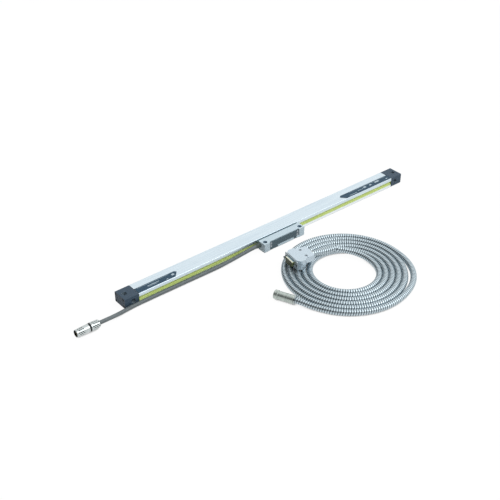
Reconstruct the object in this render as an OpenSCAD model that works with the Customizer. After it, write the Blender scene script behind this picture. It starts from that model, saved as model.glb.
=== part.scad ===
// Linear glass scale: enclosed scale with reading head, head cable with round plug,
// and a loose armoured signal cable with a round socket and a 9-way D connector.
// X runs along the scale, the slot faces -Y, the base lies on z = 0.

/* [Scale body] */
// Overall length over the end blocks
scale_len = 500; // [400:10:1200]
// Depth of the body, front to back
body_w = 23.5; // [23:0.5:28]
// Height of the body
body_h = 15; // [15:0.5:18]
// Top and bottom wall of the extrusion
wall = 2; // [1.8:0.1:2.2]
// Rear wall of the extrusion
back_wall = 3; // [2.8:0.1:3.4]
// Depth of the two jaws beside the slot
jaw_deep = 4.75; // [4.6:0.05:5.2]
// Rounding of the long edges
edge_r = 0.8; // [0.4:0.1:1]
// Height of the slot's middle above the base
slot_mid = 7.1; // [6.9:0.1:7.5]
// Height of the slot
slot_h = 6.3; // [5.8:0.1:6.4]

/* [Sealing lips] */
// Gap between the two lips
lip_gap = 0.8; // [0.8:0.05:1]
// Thickness of a lip at its root
lip_t = 1.2; // [1:0.1:1.3]
// Depth of a lip's root in its groove
lip_root = 0.9; // [0.7:0.1:1]
// How far the lips lie behind the front face
lip_recess = 0.4; // [0.3:0.1:0.6]
// How far the lip edges lean into the slot
lip_lean = 1.1; // [0.8:0.1:1.2]

/* [End blocks] */
// Length of an end block
block_len = 21; // [20:0.5:26]
// Thickness of an end gasket
gasket_t = 0.5; // [0.4:0.1:1]
// Diameter of the fixing holes
fix_d = 4.4; // [4:0.1:4.6]
// Diameter of the counterbores over the fixing holes
fix_bore_d = 6.6; // [6.2:0.1:7.4]
// Depth of the counterbores
fix_bore_deep = 3.2; // [2.6:0.1:4.4]
// Vertical fixing hole, in from the end
fix_top_in = 7; // [6:0.5:8]
// Front-to-back fixing hole, in from the end
fix_side_in = 13; // [12.5:0.5:14]
// Diameter of the end screws
end_screw_d = 2; // [1.8:0.1:2.2]
// Distance of the end screws from the top and bottom faces
end_screw_in = 2.4; // [2.3:0.05:2.5]

/* [Labels] */
// Width of the label strips
label_w = 10.6; // [6:0.2:11]
// Thickness of the label strips
label_t = 0.3; // [0.2:0.1:0.6]
// Length of the left label strip
label_left_len = 64; // [40:1:80]
// Length of the right label strip
label_right_len = 99; // [60:1:120]
// Length of the slanted tip at the inner end of each label
label_tip = 7; // [4:0.5:9]

/* [Glass scale] */
// Thickness of the glass
glass_t = 2; // [1.8:0.1:2.2]
// Space between the jaws and the edge of the glass
glass_off = 6.65; // [6.5:0.05:7]
// Depth of the glass in its groove
glass_seat = 1.4; // [1.2:0.1:1.6]
// Thickness of the elastic bead that holds the glass
bead_t = 0.6; // [0.4:0.1:0.8]
// Distance of the glass from the end gaskets
glass_end_gap = 4; // [2:1:10]

/* [Scanning carriage] */
// Length of the carriage
car_len = 48; // [46:1:60]
// Diameter of the rollers
roller_d = 4; // [3.8:0.1:4]
// Width of the rollers
roller_w = 1.6; // [1.4:0.1:1.7]
// Diameter of the roller pins
pin_d = 1.2; // [1:0.1:1.4]
// Running clearance of a roller on its pin
roller_run = 0.05; // [0.03:0.01:0.08]
// Gap between the rollers and the glass
roller_gap = 0.1; // [0.05:0.01:0.12]
// Length of the optical window
optic_len = 11; // [9:0.5:12]

/* [Reading head] */
// Length of the head
head_len = 73; // [68:1:90]
// Place of the head's middle along the scale, at rest
head_x = 2; // [-60:1:60]
// Depth of the head, from its rear face to the front of the ears
head_deep = 13.5; // [12:0.25:16]
// Air gap between the head and the body
head_gap = 1.5; // [1:0.1:2]
// Underside of the head above the base
head_lo = 0.4; // [0.3:0.1:0.8]
// Top of the head above the base
head_hi = 13.4; // [13:0.1:14]
// Length of an ear
ear_len = 10.2; // [9.6:0.2:11]
// Distance of the ear holes behind the front of the ears
ear_hole_in = 5.25; // [5:0.25:7]
// Diameter of the ear holes
ear_hole_d = 3.4; // [3:0.1:4]
// Diameter of the counterbores in the ears
ear_bore_d = 6.2; // [5.6:0.1:7]
// Depth of the counterbores in the ears
ear_bore_deep = 3.5; // [2:0.1:5]
// How far the cover lies behind the front of the ears
cover_recess = 0.8; // [0.4:0.1:1.2]
// Thickness of the cover
cover_t = 1.2; // [1:0.1:1.6]
// Thickness of the head gasket
head_gasket_t = 0.4; // [0.3:0.1:0.6]
// Height of the ledge under the cover
ledge_h = 3.2; // [2.8:0.1:3.4]
// How far the cover's top edge lies below the head's top
cover_drop = 0.9; // [0.5:0.1:1.2]
// Length of the cover's tab beside the ledge
tab_len = 14; // [8:1:20]
// Length of the cover's foot, which parts the ledge near its right end
foot_len = 5; // [3:0.5:8]
// Thickness of the coupling blade
blade_t = 0.6; // [0.5:0.05:0.6]
// Length of the coupling blade
blade_len = 40; // [34:1:44]

/* [Head cable] */
// Diameter of the head cable
cable_d = 5.2; // [4.6:0.1:5.6]
// Length of the strain relief
gland_len = 7; // [6:0.5:10]
// Height of the strain relief's axis
gland_z = 8; // [7.6:0.1:8.4]
// Distance of the cable in front of the body
cable_off = 4.25; // [4.2:0.05:4.8]

/* [Round plug] */
// Diameter of the plug's backshell at its wide end
plug_d = 11.7; // [11:0.1:13]
// Diameter of the backshell at the cable
plug_rear_d = 10.3; // [9.8:0.1:11]
// Length of the plug's backshell
backshell_len = 13.6; // [13:0.2:18]
// Length of the plug's coupling ring
ring_len = 18.6; // [16:0.2:22]
// Diameter of the coupling ring at its open end
ring_tip_d = 9.6; // [9:0.1:10.2]
// Depth of the ring's mouth
mouth_deep = 3.6; // [3:0.1:3.8]
// Width of the dark seal ring
seal_w = 1.2; // [1:0.1:2]

/* [Signal cable] */
// Diameter of the armoured conduit
armour_d = 8.4; // [8:0.1:9]
// Outer radius of the coil's inner turns
coil_r = 80.6; // [79.4:0.1:80.8]
// Radius of the coil's hole
coil_hole_r = 39.5; // [36:0.5:48]
// Diameter of the round socket
socket_d = 11.4; // [11:0.1:12]
// Length of the round socket
socket_len = 30; // [26:1:34]

/* [D connector] */
// Turn of the D connector about the vertical
dsub_turn = 171; // [165:1:180]
// Thickness of the hood
hood_h = 14; // [14:0.5:16]
// Wall of the hood
hood_wall = 1.5; // [1.2:0.1:2]
// Distance between the two jackscrews
jack_gap = 25; // [24.99:0.01:25.01]
// Width of the flange
flange_w = 30.8; // [30.4:0.1:31]
// Height of the flange
flange_h = 12.5; // [12:0.1:12.6]

/* [Hidden] */
$fn = 48;
fit = 0.03;
front_y = -body_w / 2;
back_y = body_w / 2;
cav_front = front_y + jaw_deep;
cav_back = back_y - back_wall;
housing_len = scale_len - 2 * (block_len + gasket_t);
slot_lo = slot_mid - slot_h / 2;
slot_hi = slot_mid + slot_h / 2;

// end screws: two in the jaws, two in the rear corners
boss_r = 1.9;
screw_head_r = 1.9;
screw_head_h = 2;
screw_grip = 9;
front_screw_y = cav_front - 1.35;
rear_screw_y = back_y - end_screw_in;
end_screws = [for (y = [front_screw_y, rear_screw_y], z = [end_screw_in, body_h - end_screw_in]) [y, z]];

// lip grooves open towards the slot
lip_y = front_y + lip_recess;
lip_groove_t = lip_t;

// glass strip, level with the middle of the body
glass_lo = body_h / 2 - glass_t / 2;
glass_hi = glass_lo + glass_t;
glass_back = cav_back + glass_seat;
glass_front = cav_front + glass_off;
glass_len = housing_len - 2 * glass_end_gap;

// carriage: a web in front of the glass and an arm above and below it
car_air = 0.4;
web_back = glass_front - 0.6;
car_back = rear_screw_y - boss_r - car_air;
car_lo = wall + car_air;
car_hi = body_h - wall - car_air;
arm_lo_top = glass_lo - car_air;
arm_hi_bottom = glass_hi + car_air;
pocket_air = 0.3;
roller_r = roller_d / 2;
top_roller_z = glass_hi + roller_gap + roller_r;
edge_roller_y = glass_front - roller_gap - roller_r;
car_front = edge_roller_y - roller_r - 0.65;
pin_len = roller_w + 2 * pocket_air + 1.2;
front_roller_y = glass_front + 2.15;
back_roller_y = car_back - 1.85;
top_rollers = [[-20, front_roller_y], [20, front_roller_y], [8, back_roller_y]];
edge_rollers = [-13, 13];
optic_x = -5.5;
optic_w = 5.6;
optic_y = (glass_front + car_back) / 2;
optic_plate = 1;
optic_gap = 0.15;
lamp_floor = car_lo + 1;
lamp_top = arm_lo_top - 0.1;

// reading head
head_rear = front_y - head_gap;
ears_front = head_rear - head_deep;
cover_front = ears_front + cover_recess;
block_front = cover_front + cover_t + head_gasket_t;
head_half = head_len / 2;
cover_half = head_half - ear_len - 0.2;
ear_hole_y = ears_front + ear_hole_in;
ear_hole_x = head_half - ear_len / 2;
blade_lo = slot_mid - blade_t / 2;
blade_hi = slot_mid + blade_t / 2;
blade_grip = 3.8;
foot_x0 = cover_half - 4 - foot_len;
blade_front = head_rear - blade_grip;
blade_back = car_front - 0.3;
blade_screw_x = 14;
blade_screw_y = head_rear - 2;
blade_screw_r = 0.8;
pocket_end = 5.5;
pocket_lo = head_lo + ledge_h + 0.9;
pocket_hi = 9.8;
cover_lo = head_lo + ledge_h + 0.1;
cover_hi = head_hi - cover_drop;
cover_screws = [for (x = [-1, 1], z = [cover_lo + 2.1, cover_hi - 2.1]) [x * (cover_half - 2.2), z]];
cover_screw_r = 0.8;
cover_head_r = 1.6;
cover_head_h = 0.8;

// head cable: points after the strain relief's end, as steps from it, with absolute heights
gland_x = -head_half - gland_len;
cable_y = front_y - cable_off;
plug_z = plug_d / 2 + 0.05;
cable_points = [
    [0, 0, 8], [-5, 0.1, 7.65], [-11, 0.3, 6.9], [-18, 0.45, 6.1], [-26, 0.55, 5.3], [-35, 0.6, 4.5],
    [-45, 0.6, 3.8], [-55, 0.6, 3.2], [-66, 0.6, 2.8], [-78, 0.7, 2.65], [-93, 0.9, 2.65],
    [-108, 1.05, 2.65], [-123, 1.2, 2.65], [-138, 1.3, 2.65], [-153, 1.4, 2.65], [-168, 1.5, 2.65],
    [-179, 1.55, 2.65], [-190, 1.5, 2.65], [-200, 1.1, 2.65], [-210, 0.2, 2.75], [-219, -1, 3.1],
    [-228, -2.3, 3.9], [-237, -3.4, 4.9], [-244.5, -4.1, 5.6], [-251.5, -4.3, 5.9]
];
plug_x = cable_points[len(cable_points) - 1][0];
plug_y = cable_points[len(cable_points) - 1][1];
grips = 12;

// signal cable: straight out of the socket and round the coil's outermost turn
coil_x = 17.4;
coil_y = -131.9;
socket_turn = 113.5;
socket_nut_r = 6.1;
socket_z = socket_nut_r + 0.05;
lead_points = [
    [-77, -139.1, 6.2], [-73.5, -147, 5.7], [-69, -157, 4.8], [-63.5, -167.9, 4.3], [-54.2, -183.6, 4.25],
    [-41.8, -197, 4.25], [-27.1, -207.5, 4.25], [-10.5, -214.8, 4.25], [7.1, -218.5, 4.25],
    [25.1, -218.5, 4.25], [42.7, -215.2, 4.25], [59.7, -208.9, 4.25], [75, -199.1, 4.25],
    [87.4, -185.7, 4.25], [96, -169.7, 4.25], [100.9, -152.5, 4.25], [102.7, -134.9, 4.25]
];
tail_points = [
    [36, -92, 12.7], [30, -90.6, 12.7], [24, -89.4, 12.8], [17, -88.2, 13.4], [10, -87.1, 14.4],
    [4.5, -86.2, 15.2], [-1, -85.3, 15.5]
];

// D connector: steps from the middle of the hood's two screws, forwards is +X
dsub_x = -15.5;
dsub_y = -83;
hood_lo = armour_d + 0.1;
dsub_z = hood_lo + hood_h / 2;
hood_front = 17.3;
hood_rear = -11.4;
hood_wing = 15.6;
hood_corner = 6;
hood_tail = 12.7;
wing_rear = 6;
tail_front = 3;
keel_half = 6.6;
hood_screw_y = 7.35;
hood_screw_r = 2;
hood_screw_sunk = 1.5;
flange_t = 1;
shell_len = 4.2;
shell_w = 17;
shell_h = 8.6;
shell_t = 0.5;
insert_back = 6;
jack_r = 1.42;
jack_air = 0.08;
jack_head_r = 2;
jack_y = jack_gap / 2;
jack_seat = 8.5;
jack_head_len = 4;
jack_rear = 4.6;
jack_reach = 3.6;
jack_tip = hood_front + flange_t + jack_reach;
ferrule_r = 4.9;
ferrule_len = 3.6;

// ---- shapes that repeat ----

// a flat profile drawn in Y and Z, extruded along X
module along_x(x0, len) {
    translate([x0, 0, 0]) rotate([90, 0, 90]) linear_extrude(len) children();
}

// a rectangle from one corner to the other
module rect(a, b) {
    translate(a) square(b - a);
}

// a rectangle about its middle with round corners
module round_rect(w, h, r) {
    square([w - 2 * r, h], center = true);
    square([w, h - 2 * r], center = true);
    for (x = [-1, 1], y = [-1, 1]) translate([x * (w / 2 - r), y * (h / 2 - r)]) circle(r);
}

module box(a, b) {
    translate(a) cube(b - a);
}

module rod_x(x0, x1, y, z, r) {
    translate([x0, y, z]) rotate([0, 90, 0]) cylinder(r = r, h = x1 - x0);
}

module rod_y(y0, y1, x, z, r) {
    translate([x, y0, z]) rotate([-90, 0, 0]) cylinder(r = r, h = y1 - y0);
}

module rod_z(z0, z1, x, y, r) {
    translate([x, y, z0]) cylinder(r = r, h = z1 - z0);
}

// a solid turned about the X axis from points of [distance along X, radius]
module turned_x(points) {
    rotate([0, 90, 0]) rotate_extrude() polygon([for (p = points) [p[1], p[0]]]);
}

// a tube swept along points as one closed skin
function unit(v) = v / norm(v);
function way(p, i) = unit(p[min(i + 1, len(p) - 1)] - p[max(i - 1, 0)]);
function ring_at(p, i, r, n) =
    let (t = way(p, i), s = unit(cross(t, [0, 0, 1])), u = cross(s, t))
    [for (k = [0 : n - 1]) p[i] + r * (cos((k + 0.5) * 360 / n) * s + sin((k + 0.5) * 360 / n) * u)];
module swept(p, d, n) {
    rings = len(p);
    points = [for (i = [0 : rings - 1]) each ring_at(p, i, d / 2, n)];
    sides = [for (i = [0 : rings - 2], k = [0 : n - 1])
        [i * n + k, i * n + (k + 1) % n, (i + 1) * n + (k + 1) % n, (i + 1) * n + k]];
    start = [for (k = [0 : n - 1]) n - 1 - k];
    end = [for (k = [0 : n - 1]) (rings - 1) * n + k];
    polyhedron(points, concat([start], sides, [end]));
}

// ---- scale body ----

module body_outline() {
    translate([0, body_h / 2]) round_rect(body_w, body_h, edge_r);
}

module lip_groove(z0, z1) {
    rect([lip_y, z0], [lip_y + lip_groove_t, z1]);
}

module housing_profile() {
    difference() {
        body_outline();
        difference() {
            rect([cav_front, wall], [cav_back, body_h - wall]);
            for (s = end_screws) translate(s) circle(boss_r);
        }
        rect([front_y - 1, slot_lo], [cav_front + 1, slot_hi]);
        lip_groove(slot_hi - 1, slot_hi + lip_root);
        lip_groove(slot_lo - lip_root, slot_lo + 1);
        rect([cav_back - 1, glass_lo], [glass_back, glass_hi + bead_t]);
        for (s = end_screws) translate(s) circle(end_screw_d / 2 + fit);
    }
}

module scale_housing() {
    color("#c9d9e6") along_x(-housing_len / 2, housing_len) housing_profile();
}

// one lip: a root in its groove and a blade that leans into the slot
module lip_profile() {
    polygon([
        [lip_y, slot_hi + lip_root], [lip_y, slot_hi],
        [lip_y + lip_lean, slot_mid + lip_gap / 2], [lip_y + lip_lean + 0.4, slot_mid + lip_gap / 2],
        [lip_y + lip_t, slot_hi], [lip_y + lip_t, slot_hi + lip_root]
    ]);
}

module upper_seal_lip() {
    color("#a9c44a") along_x(-housing_len / 2, housing_len) lip_profile();
}

module lower_seal_lip() {
    color("#a9c44a") along_x(-housing_len / 2, housing_len)
        translate([0, 2 * slot_mid]) mirror([0, 1]) lip_profile();
}

module glass_scale() {
    color("#bfe0dc") along_x(-glass_len / 2, glass_len)
        rect([glass_front, glass_lo], [glass_back, glass_hi]);
}

module glass_bead() {
    color("#3b3b3b") along_x(-glass_len / 2, glass_len)
        rect([cav_back + 0.2, glass_hi], [glass_back, glass_hi + bead_t]);
}

// ---- end blocks, drawn for the right end ----

module end_block() {
    x0 = scale_len / 2 - block_len;
    x1 = scale_len / 2;
    difference() {
        along_x(x0, block_len) body_outline();
        rod_z(-1, body_h + 1, x1 - fix_top_in, 0, fix_d / 2);
        rod_y(front_y - 1, back_y + 1, x1 - fix_side_in, body_h / 2, fix_d / 2);
        rod_z(body_h - fix_bore_deep, body_h + 1, x1 - fix_top_in, 0, fix_bore_d / 2);
        rod_y(front_y - 1, front_y + fix_bore_deep, x1 - fix_side_in, body_h / 2, fix_bore_d / 2);
        for (s = end_screws) {
            rod_x(x0 - 1, x1, s[0], s[1], end_screw_d / 2 + fit);
            rod_x(x1 - screw_head_h - 0.3, x1 + 1, s[0], s[1], screw_head_r + 0.1);
        }
    }
}

module end_gasket() {
    color("#2b2b2b") difference() {
        along_x(scale_len / 2 - block_len - gasket_t, gasket_t)
            translate([0, body_h / 2]) round_rect(body_w - 0.6, body_h - 0.6, edge_r);
        for (s = end_screws)
            rod_x(0, scale_len, s[0], s[1], end_screw_d / 2 + fit);
    }
}

module end_screw(y, z) {
    x1 = scale_len / 2 - 0.3;
    x0 = x1 - screw_head_h;
    difference() {
        union() {
            rod_x(x0 - block_len + screw_head_h - screw_grip, x0, y, z, end_screw_d / 2);
            rod_x(x0, x1, y, z, screw_head_r);
        }
        translate([x1 - 1, y, z]) rotate([0, 90, 0]) cylinder(r = 0.9, h = 2, $fn = 6);
    }
}

module left_end_block() { color("#43525f") mirror([1, 0, 0]) end_block(); }
module right_end_block() { color("#43525f") end_block(); }
module left_end_gasket() { mirror([1, 0, 0]) end_gasket(); }
module right_end_gasket() { end_gasket(); }
module end_block_screws() {
    color("#2e3338") for (side = [0, 1], s = end_screws) mirror([side, 0, 0]) end_screw(s[0], s[1]);
}

// ---- label strips ----

// a strip from the right end of the body inwards, with a slanted tip at its inner end
module label_plate(len) {
    outer = housing_len / 2 - 0.2;
    tip = outer - len;
    color("#3f5264") translate([0, front_y + edge_r, body_h]) linear_extrude(label_t)
        polygon([
            [outer, 0], [outer, label_w], [tip + label_tip * 0.4, label_w],
            [tip, label_w * 0.75], [tip + label_tip, 0]
        ]);
}

module left_label_plate() { mirror([1, 0, 0]) label_plate(label_left_len); }
module right_label_plate() { label_plate(label_right_len); }

// ---- scanning carriage ----

module carriage_blank() {
    l = car_len / 2;
    box([-l, car_front, car_lo], [l, web_back, car_hi]);
    box([-l, car_front, car_lo], [l, car_back, arm_lo_top]);
    box([-l, car_front, arm_hi_bottom], [l, car_back, car_hi]);
}

module scanning_carriage() {
    run = roller_r + pocket_air;
    half = roller_w / 2 + pocket_air;
    color("#8d949a") translate([head_x, 0, 0]) difference() {
        carriage_blank();
        for (r = top_rollers) {
            box([r[0] - run, r[1] - half, arm_hi_bottom - 1], [r[0] + run, r[1] + half, car_hi + 1]);
            rod_y(r[1] - pin_len / 2, r[1] + pin_len / 2, r[0], top_roller_z, pin_d / 2 + fit);
        }
        for (x = edge_rollers) {
            box([x - run, edge_roller_y - roller_r - 0.15, body_h / 2 - half],
                [x + run, web_back + 1, body_h / 2 + half]);
            rod_z(body_h / 2 - pin_len / 2, body_h / 2 + pin_len / 2, x, edge_roller_y, pin_d / 2 + fit);
        }
        optic_box(arm_hi_bottom - 1, glass_hi + optic_gap + 2 * optic_plate, fit);
        optic_box(lamp_floor, arm_lo_top + 1, fit);
    }
}

module roller_pins() {
    half = pin_len / 2;
    color("#d6d9dc") translate([head_x, 0, 0]) {
        for (r = top_rollers) rod_y(r[1] - half, r[1] + half, r[0], top_roller_z, pin_d / 2);
        for (x = edge_rollers) rod_z(body_h / 2 - half, body_h / 2 + half, x, edge_roller_y, pin_d / 2);
    }
}

// a small ball bearing: a ring with a groove in its rim and shields on its faces
module roller() {
    bore = pin_d / 2 + roller_run;
    color("#b9bec3") rotate_extrude() difference() {
        rect([bore, -roller_w / 2], [roller_r, roller_w / 2]);
        for (z = [-1, 1])
            translate([roller_r * 0.62, z * roller_w / 2]) square([roller_r * 0.3, 0.2], center = true);
    }
}

module top_roller(i) {
    translate([head_x + top_rollers[i][0], top_rollers[i][1], top_roller_z]) rotate([90, 0, 0]) roller();
}

module edge_roller(i) {
    translate([head_x + edge_rollers[i], edge_roller_y, body_h / 2]) roller();
}

module optic_box(z0, z1, air) {
    reach = [optic_len / 2 + air, optic_w / 2 + air];
    box([optic_x - reach[0], optic_y - reach[1], z0], [optic_x + reach[0], optic_y + reach[1], z1]);
}

module lamp_holder() {
    color("#26292c") translate([head_x, 0, 0]) difference() {
        optic_box(lamp_floor, lamp_top, 0);
        rod_z(lamp_floor + 0.5, lamp_top + 1, optic_x, optic_y, 1.9);
        rod_z(lamp_top - 0.8, lamp_top + 1, optic_x, optic_y, 2.4);
    }
}

module lamp() {
    color("#e8d9b0") translate([head_x + optic_x, optic_y, lamp_floor + 0.5]) {
        cylinder(r = 1.5, h = 0.5);
        translate([0, 0, 0.5]) cylinder(r1 = 1.1, r2 = 0.6, h = 0.5);
    }
}

module condenser_lens() {
    color("#d8eef2") translate([head_x + optic_x, optic_y, lamp_top - 0.8]) {
        cylinder(r = 2.35, h = 0.5);
        translate([0, 0, 0.5]) cylinder(r1 = 2, r2 = 1.2, h = 0.35);
    }
}

module index_grating() {
    color("#c6e4e0") translate([head_x, 0, 0])
        optic_box(glass_hi + optic_gap, glass_hi + optic_gap + optic_plate, 0);
}

module photocell_board() {
    color("#2f6b4a") translate([head_x, 0, 0])
        optic_box(glass_hi + optic_gap + optic_plate, glass_hi + optic_gap + 2 * optic_plate, 0);
}

// a leaf bent to an L: one leg on the blade, the other against the carriage
module coupling_spring() {
    leg = 0.3;
    color("#cfd3d6") translate([head_x, 0, 0]) difference() {
        union() {
            box([-15, blade_back - 1.4, blade_hi], [15, car_front, blade_hi + leg]);
            box([-15, car_front - leg, blade_hi], [15, car_front, car_hi - 1]);
        }
        for (x = [-7.5, 7.5])
            box([x - 3, blade_back - 2, blade_hi + 1], [x + 3, car_front + 1, car_hi - 2]);
    }
}

module coupling_blade() {
    color("#d9dcdf") translate([head_x, 0, 0]) difference() {
        box([-blade_len / 2, blade_front, blade_lo], [blade_len / 2, blade_back, blade_hi]);
        for (x = [-1, 1])
            rod_z(blade_lo - 1, blade_hi + 1, x * blade_screw_x, blade_screw_y, blade_screw_r + 0.1);
    }
}

module blade_screws() {
    color("#2e3338") translate([head_x, 0, 0]) for (x = [-1, 1]) {
        rod_z(head_lo + 1.8, head_hi - 2, x * blade_screw_x, blade_screw_y, blade_screw_r);
        rod_z(head_lo + 0.4, head_lo + 1.8, x * blade_screw_x, blade_screw_y, 1.5);
    }
}

// ---- reading head ----

module head_outline() {
    x1 = head_half;
    for (s = [-1, 1])
        translate([s * (x1 - ear_len / 2), (ears_front + head_rear) / 2]) round_rect(ear_len, head_deep, 0.9);
    rect([-x1 + ear_len - 1.2, block_front], [x1 - ear_len + 1.2, head_rear]);
}

module head_block() {
    inner = cover_half - pocket_end;
    color("#b9c6d1") translate([head_x, 0, 0]) difference() {
        union() {
            translate([0, 0, head_lo]) linear_extrude(head_hi - head_lo) head_outline();
            for (x = [[-cover_half + tab_len, foot_x0], [foot_x0 + foot_len, head_half - ear_len + 1]])
                box([x[0], cover_front - 0.3, head_lo], [x[1], block_front + 1, head_lo + ledge_h]);
        }
        for (s = [-1, 1]) {
            rod_z(head_lo - 1, head_hi + 1, s * ear_hole_x, ear_hole_y, ear_hole_d / 2);
            rod_z(head_hi - ear_bore_deep, head_hi + 1, s * ear_hole_x, ear_hole_y, ear_bore_d / 2);
            rod_z(head_lo - 1, head_hi - 2, s * blade_screw_x, blade_screw_y, blade_screw_r + fit);
            rod_z(head_lo - 1, head_lo + 1.8, s * blade_screw_x, blade_screw_y, 1.6);
        }
        box([-inner, block_front - 1, pocket_lo], [inner, blade_front, pocket_hi]);
        box([-blade_len / 2 - 0.1, blade_front - 1, blade_lo],
            [blade_len / 2 + 0.1, head_rear + 1, blade_hi]);
        for (s = cover_screws) rod_y(block_front - 1, block_front + 4, s[0], s[1], cover_screw_r + fit);
    }
}

// the cover's face in X and Z, with a tab down its left end and a foot near its right end
module cover_face(inset) {
    x0 = -cover_half + inset;
    x1 = cover_half - inset;
    z0 = cover_lo + inset;
    rect([x0, z0], [x1, cover_hi - inset]);
    rect([x0, head_lo + inset], [-cover_half + tab_len - 0.2 - inset, z0 + 1]);
    rect([foot_x0 + 0.2 + inset, head_lo + inset], [foot_x0 + foot_len - 0.2 - inset, z0 + 1]);
}

module cover_slab(y1, t) {
    translate([head_x, y1, 0]) rotate([90, 0, 0]) linear_extrude(t) children();
}

module head_gasket() {
    color("#2b2b2b") difference() {
        cover_slab(block_front, head_gasket_t) cover_face(0.4);
        for (s = cover_screws) rod_y(cover_front, block_front + 1, head_x + s[0], s[1], cover_screw_r + fit);
    }
}

module head_cover() {
    y1 = block_front - head_gasket_t;
    color("#3f4d5a") difference() {
        cover_slab(y1, cover_t) cover_face(0);
        for (s = cover_screws) {
            rod_y(cover_front - 1, y1 + 1, head_x + s[0], s[1], cover_screw_r + fit);
            rod_y(cover_front - 1, cover_front + cover_head_h, head_x + s[0], s[1], cover_head_r + 0.1);
        }
    }
}

module head_cover_screws() {
    color("#9aa3ab") for (s = cover_screws) difference() {
        union() {
            rod_y(cover_front + cover_head_h, block_front + 3.8, head_x + s[0], s[1], cover_screw_r);
            rod_y(cover_front, cover_front + cover_head_h, head_x + s[0], s[1], cover_head_r);
        }
        translate([head_x + s[0], cover_front, s[1]]) cube([4, 0.8, 0.4], center = true);
    }
}

module head_board() {
    x1 = cover_half - pocket_end - 0.1;
    y0 = block_front + 0.6;
    color("#2f6b4a") translate([head_x, 0, 0]) {
        box([-x1, y0, pocket_lo], [x1, y0 + 1, pocket_hi]);
        for (x = [-14, -2, 9]) box([x, y0 + 1, pocket_lo + 1.2], [x + 6, y0 + 2.2, pocket_hi - 1.2]);
    }
}

// ---- head cable and plug; X runs out of the head's left end ----

module cable_gland() {
    nut = 2;
    rib = 0.6;
    color("#39424a") translate([head_x - head_half, cable_y, gland_z]) mirror([1, 0, 0]) {
        turned_x([[0, 0], [0, 3.4], [nut - 0.4, 3.4], [nut, 3.1], [gland_len, 2.9], [gland_len, 0]]);
        for (i = [1 : 3]) rod_x(nut + i * 1.2 - rib, nut + i * 1.2, 0, 0, 3.38 - 0.06 * i);
    }
}

module at_plug() {
    translate([head_x + gland_x + plug_x, cable_y + plug_y, plug_z]) mirror([1, 0, 0]) children();
}

module head_cable() {
    color("#747c7c") translate([head_x + gland_x, cable_y, 0]) swept(cable_points, cable_d, 10);
}

// rows of short grip pockets round the X axis, every second row set off by half a pitch
module grip_rows(x0, x1, count, r0, r1, pocket_r) {
    pitch = (x1 - x0) / (count + 0.5);
    len = pitch * 0.72;
    for (k = [1 : grips], i = [0 : count - 1]) {
        x = x0 + (i + (k % 2) / 2) * pitch;
        skin = r0 + (r1 - r0) * (x + len / 2 - x0) / (x1 - x0);
        rotate([k * 360 / grips, 0, 0]) rod_x(x, x + len, skin + pocket_r - 0.55, 0, pocket_r);
    }
}

module plug_backshell() {
    r = plug_d / 2;
    rear = plug_rear_d / 2;
    color("#c8ccce") at_plug() difference() {
        turned_x([[0, 0], [0, rear - 1.2], [1.2, rear], [backshell_len - 0.8, r], [backshell_len, r - 0.6],
            [backshell_len, 3.3], [backshell_len + seal_w + ring_len - mouth_deep - 1, 3.3],
            [backshell_len + seal_w + ring_len - mouth_deep - 1, 0]]);
        grip_rows(1.6, backshell_len - 1.2, 3, rear, r, 0.9);
    }
}

module plug_seal() {
    color("#26292b") at_plug()
        turned_x([[backshell_len, 3.35], [backshell_len, plug_d / 2 - 0.5],
            [backshell_len + seal_w - 0.1, plug_d / 2 - 0.5], [backshell_len + seal_w - 0.1, 3.35]]);
}

// the coupling ring turns on the backshell's inner tube
module plug_ring() {
    x0 = backshell_len + seal_w;
    x1 = x0 + ring_len;
    r = plug_d / 2;
    tip = ring_tip_d / 2;
    step = 0.45;
    color("#d2d6d7") at_plug() difference() {
        turned_x([[x0, 3.38], [x0, r - 0.9], [x0 + 0.6, r - 0.5], [x0 + 7, r - 0.5], [x0 + 7.6, tip + step],
            [x1 - 0.5, tip + 0.1], [x1, tip - 0.3], [x1, 3.9], [x1 - mouth_deep - 0.9, 3.9],
            [x1 - mouth_deep - 0.9, 3.38]]);
        grip_rows(x1 - 10.4, x1 - 1.4, 3, tip + step, tip + 0.15, 0.8);
    }
}

module plug_insert() {
    x1 = backshell_len + seal_w + ring_len - mouth_deep;
    color("#23282a") at_plug() difference() {
        turned_x([[x1 - 1, 0], [x1 - 1, 3.3], [x1, 3.3], [x1, 0]]);
        for (k = [0 : 6]) rotate([k * 60, 0, 0]) rod_x(x1 - 0.7, x1 + 1, k == 6 ? 0 : 2, 0, 0.4 + fit);
    }
}

module plug_pins() {
    x1 = backshell_len + seal_w + ring_len - mouth_deep;
    color("#c9a94e") at_plug()
        for (k = [0 : 6]) rotate([k * 60, 0, 0]) rod_x(x1 - 0.7, x1 + 2.4, k == 6 ? 0 : 2, 0, 0.4);
}

// ---- signal cable ----

module signal_coil() {
    color("#8b979d") translate([coil_x, coil_y, 0])
        rotate_extrude($fn = 96) translate([coil_hole_r, 0]) square([coil_r - coil_hole_r, armour_d]);
}

module signal_lead() { color("#8b979d") swept(lead_points, armour_d, 10); }
module signal_tail() { color("#8b979d") swept(tail_points, armour_d, 10); }

module at_socket() {
    translate([lead_points[0][0], lead_points[0][1], socket_z]) rotate([0, 0, socket_turn]) children();
}

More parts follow.
